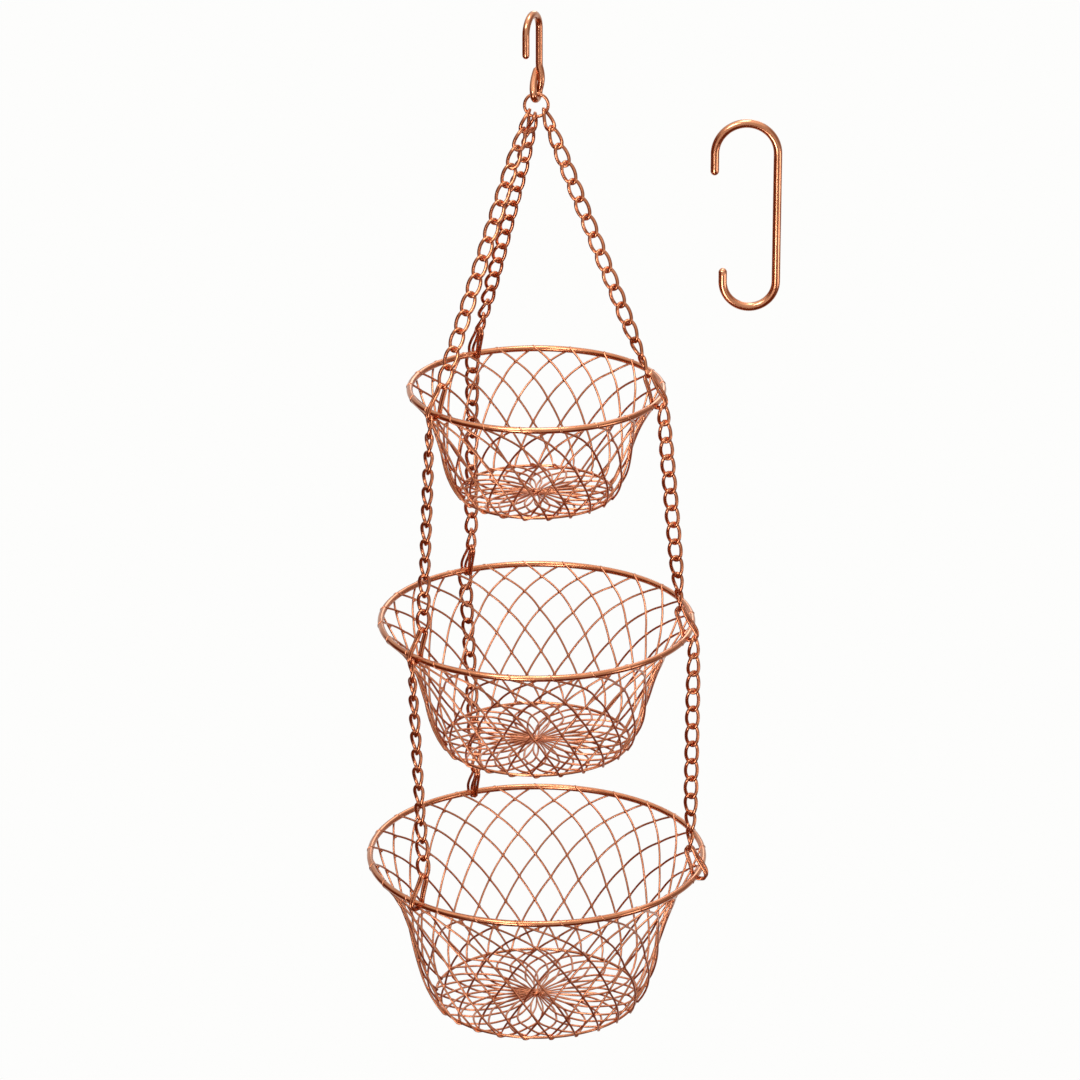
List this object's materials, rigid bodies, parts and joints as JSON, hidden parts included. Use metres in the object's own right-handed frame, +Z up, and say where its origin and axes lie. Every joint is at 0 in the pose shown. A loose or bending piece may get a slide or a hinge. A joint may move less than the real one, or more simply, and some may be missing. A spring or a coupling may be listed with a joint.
{
  "type": "hanging fruit basket",
  "caption": "Round wire baskets of growing size hung one below another on link chains from a ring and hook, all copper coloured, with a loose double-ended hook beside them.",
  "frame": {"origin": "inside top of the hanging hook's bend, the point that rests on a ceiling hook or rod", "axes": "+Z up, +X to the right in the picture, +Y away from the camera; the baskets hang on one vertical line 3.2 mm right of and 7.9 mm behind the origin"},
  "size_m": [0.3639, 0.3073, 0.924],
  "materials": {
    "hook_wire": "satin copper plating on thick steel wire",
    "rim_wire": "satin copper plating on steel wire",
    "mesh_wire": "satin copper plating on thin steel wire",
    "chain_wire": "polished copper plating on twisted steel links",
    "clip_wire": "polished copper plating on thin doubled steel wire"
  },
  "bodies": {
    "hook": {"hanging_hook": "hook_wire", "spare_hook": "hook_wire"},
    "ring": {"ring": "clip_wire"},
    "top_tier": {"top_rim": "rim_wire", "top_foot_ring": "rim_wire", "top_mesh": "mesh_wire", "top_knot": "mesh_wire", "top_right_clip": "clip_wire", "top_back_clip": "clip_wire", "top_left_clip": "clip_wire", "upper_right_chain": "chain_wire", "upper_back_chain": "chain_wire", "upper_left_chain": "chain_wire"},
    "middle_right_hanger": {"middle_right_chain": "chain_wire"},
    "middle_back_hanger": {"middle_back_chain": "chain_wire"},
    "middle_left_hanger": {"middle_left_chain": "chain_wire"},
    "middle_basket": {"middle_rim": "rim_wire", "middle_foot_ring": "rim_wire", "middle_mesh": "mesh_wire", "middle_knot": "mesh_wire", "middle_right_clip": "clip_wire", "middle_back_clip": "clip_wire", "middle_left_clip": "clip_wire"},
    "lower_right_hanger": {"lower_right_chain": "chain_wire"},
    "lower_back_hanger": {"lower_back_chain": "chain_wire"},
    "lower_left_hanger": {"lower_left_chain": "chain_wire"},
    "bottom_basket": {"bottom_rim": "rim_wire", "bottom_foot_ring": "rim_wire", "bottom_mesh": "mesh_wire", "bottom_knot": "mesh_wire", "bottom_right_clip": "clip_wire", "bottom_back_clip": "clip_wire", "bottom_left_clip": "clip_wire"}
  },
  "joints": [
    {"name": "ring_tip", "type": "hinge", "parent": "hook", "child": "ring", "pos_m": [0.00318, 0.00788, -0.0681], "axis": [1, 0, 0], "range_deg": [-30, 30]},
    {"name": "upper_sway", "type": "hinge", "parent": "ring", "child": "top_tier", "pos_m": [0.00318, 0.00788, -0.0782], "axis": [0, 1, 0], "range_deg": [-25, 25]},
    {"name": "middle_sway", "type": "hinge", "parent": "top_tier", "child": "middle_right_hanger", "pos_m": [0.11219, -0.03179, -0.33388], "axis": [0, 1, 0], "range_deg": [-4.8, 4.8]},
    {"name": "middle_back_sway", "type": "hinge", "parent": "top_tier", "child": "middle_back_hanger", "pos_m": [-0.05376, 0.10894, -0.33388], "axis": [0, 1, 0], "range_deg": [-5, 5]},
    {"name": "middle_left_sway", "type": "hinge", "parent": "top_tier", "child": "middle_left_hanger", "pos_m": [-0.08785, -0.06401, -0.33388], "axis": [0, 1, 0], "range_deg": [-5, 5]},
    {"name": "middle_level", "type": "hinge", "parent": "middle_right_hanger", "child": "middle_basket", "pos_m": [0.1292, -0.02754, -0.5265], "axis": [0, 1, 0], "range_deg": [-4.53, 4.53]},
    {"name": "lower_sway", "type": "hinge", "parent": "middle_basket", "child": "lower_right_hanger", "pos_m": [0.14143, -0.03098, -0.55008], "axis": [0, 1, 0], "range_deg": [-4.8, 4.8]},
    {"name": "lower_back_sway", "type": "hinge", "parent": "middle_basket", "child": "lower_back_hanger", "pos_m": [-0.06201, 0.13583, -0.55008], "axis": [0, 1, 0], "range_deg": [-5, 5]},
    {"name": "lower_left_sway", "type": "hinge", "parent": "middle_basket", "child": "lower_left_hanger", "pos_m": [-0.10519, -0.08633, -0.55008], "axis": [0, 1, 0], "range_deg": [-5, 5]},
    {"name": "lower_level", "type": "hinge", "parent": "lower_right_hanger", "child": "bottom_basket", "pos_m": [0.13988, -0.03444, -0.7529], "axis": [0, 1, 0], "range_deg": [-5.24, 5.24]}
  ],
  "couplings": [
    {"joint": "middle_back_sway", "follows": "middle_sway", "ratio": 1},
    {"joint": "middle_left_sway", "follows": "middle_sway", "ratio": 1},
    {"joint": "middle_level", "follows": "middle_sway", "ratio": -0.903},
    {"joint": "lower_back_sway", "follows": "lower_sway", "ratio": 1},
    {"joint": "lower_left_sway", "follows": "lower_sway", "ratio": 1},
    {"joint": "lower_level", "follows": "lower_sway", "ratio": -1.05}
  ]
}
